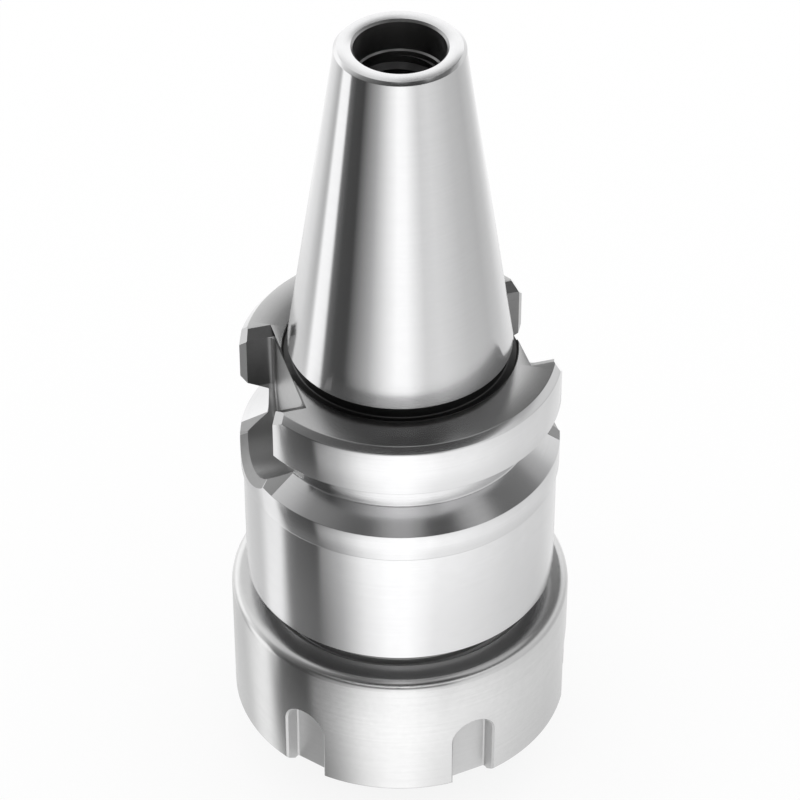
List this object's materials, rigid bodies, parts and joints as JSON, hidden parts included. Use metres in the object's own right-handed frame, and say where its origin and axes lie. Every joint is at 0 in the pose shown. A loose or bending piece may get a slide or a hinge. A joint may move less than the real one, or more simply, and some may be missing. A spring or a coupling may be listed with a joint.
{
  "type": "collet chuck holder",
  "caption": "Steep-taper tool holder with a gripper flange, drive keyways and a slotted clamping nut that closes a slit spring collet on a tool shank.",
  "frame": {"origin": "centre of the gauge circle on the axis, where the 7/24 taper is 31.75 mm across", "axes": "+Z along the axis towards the small end of the shank; +X through the middle of one drive keyway"},
  "size_m": [0.05, 0.05, 0.1154],
  "materials": {
    "ground_steel": "hardened steel, ground bright, with fine turning lines on the flange's flat faces",
    "nut_steel": "hardened steel, tumbled and polished to a soft satin",
    "collet_steel": "spring steel, ground"
  },
  "bodies": {
    "holder": {"holder_body": "ground_steel"},
    "collet_carrier": {"collet": "collet_steel"},
    "nut": {"clamping_nut": "nut_steel"}
  },
  "joints": [
    {"name": "collet_draw", "type": "slide", "parent": "holder", "child": "collet_carrier", "axis": [0, 0, -1], "range_m": [0, 0.00901]},
    {"name": "nut_turn", "type": "hinge", "parent": "collet_carrier", "child": "nut", "pos_m": [0, 0, -0.056], "axis": [0, 0, -1], "range_deg": [0, 2160]}
  ],
  "couplings": [
    {"joint": "collet_draw", "follows": "nut_turn", "m_per_rad": 0.00023873}
  ]
}
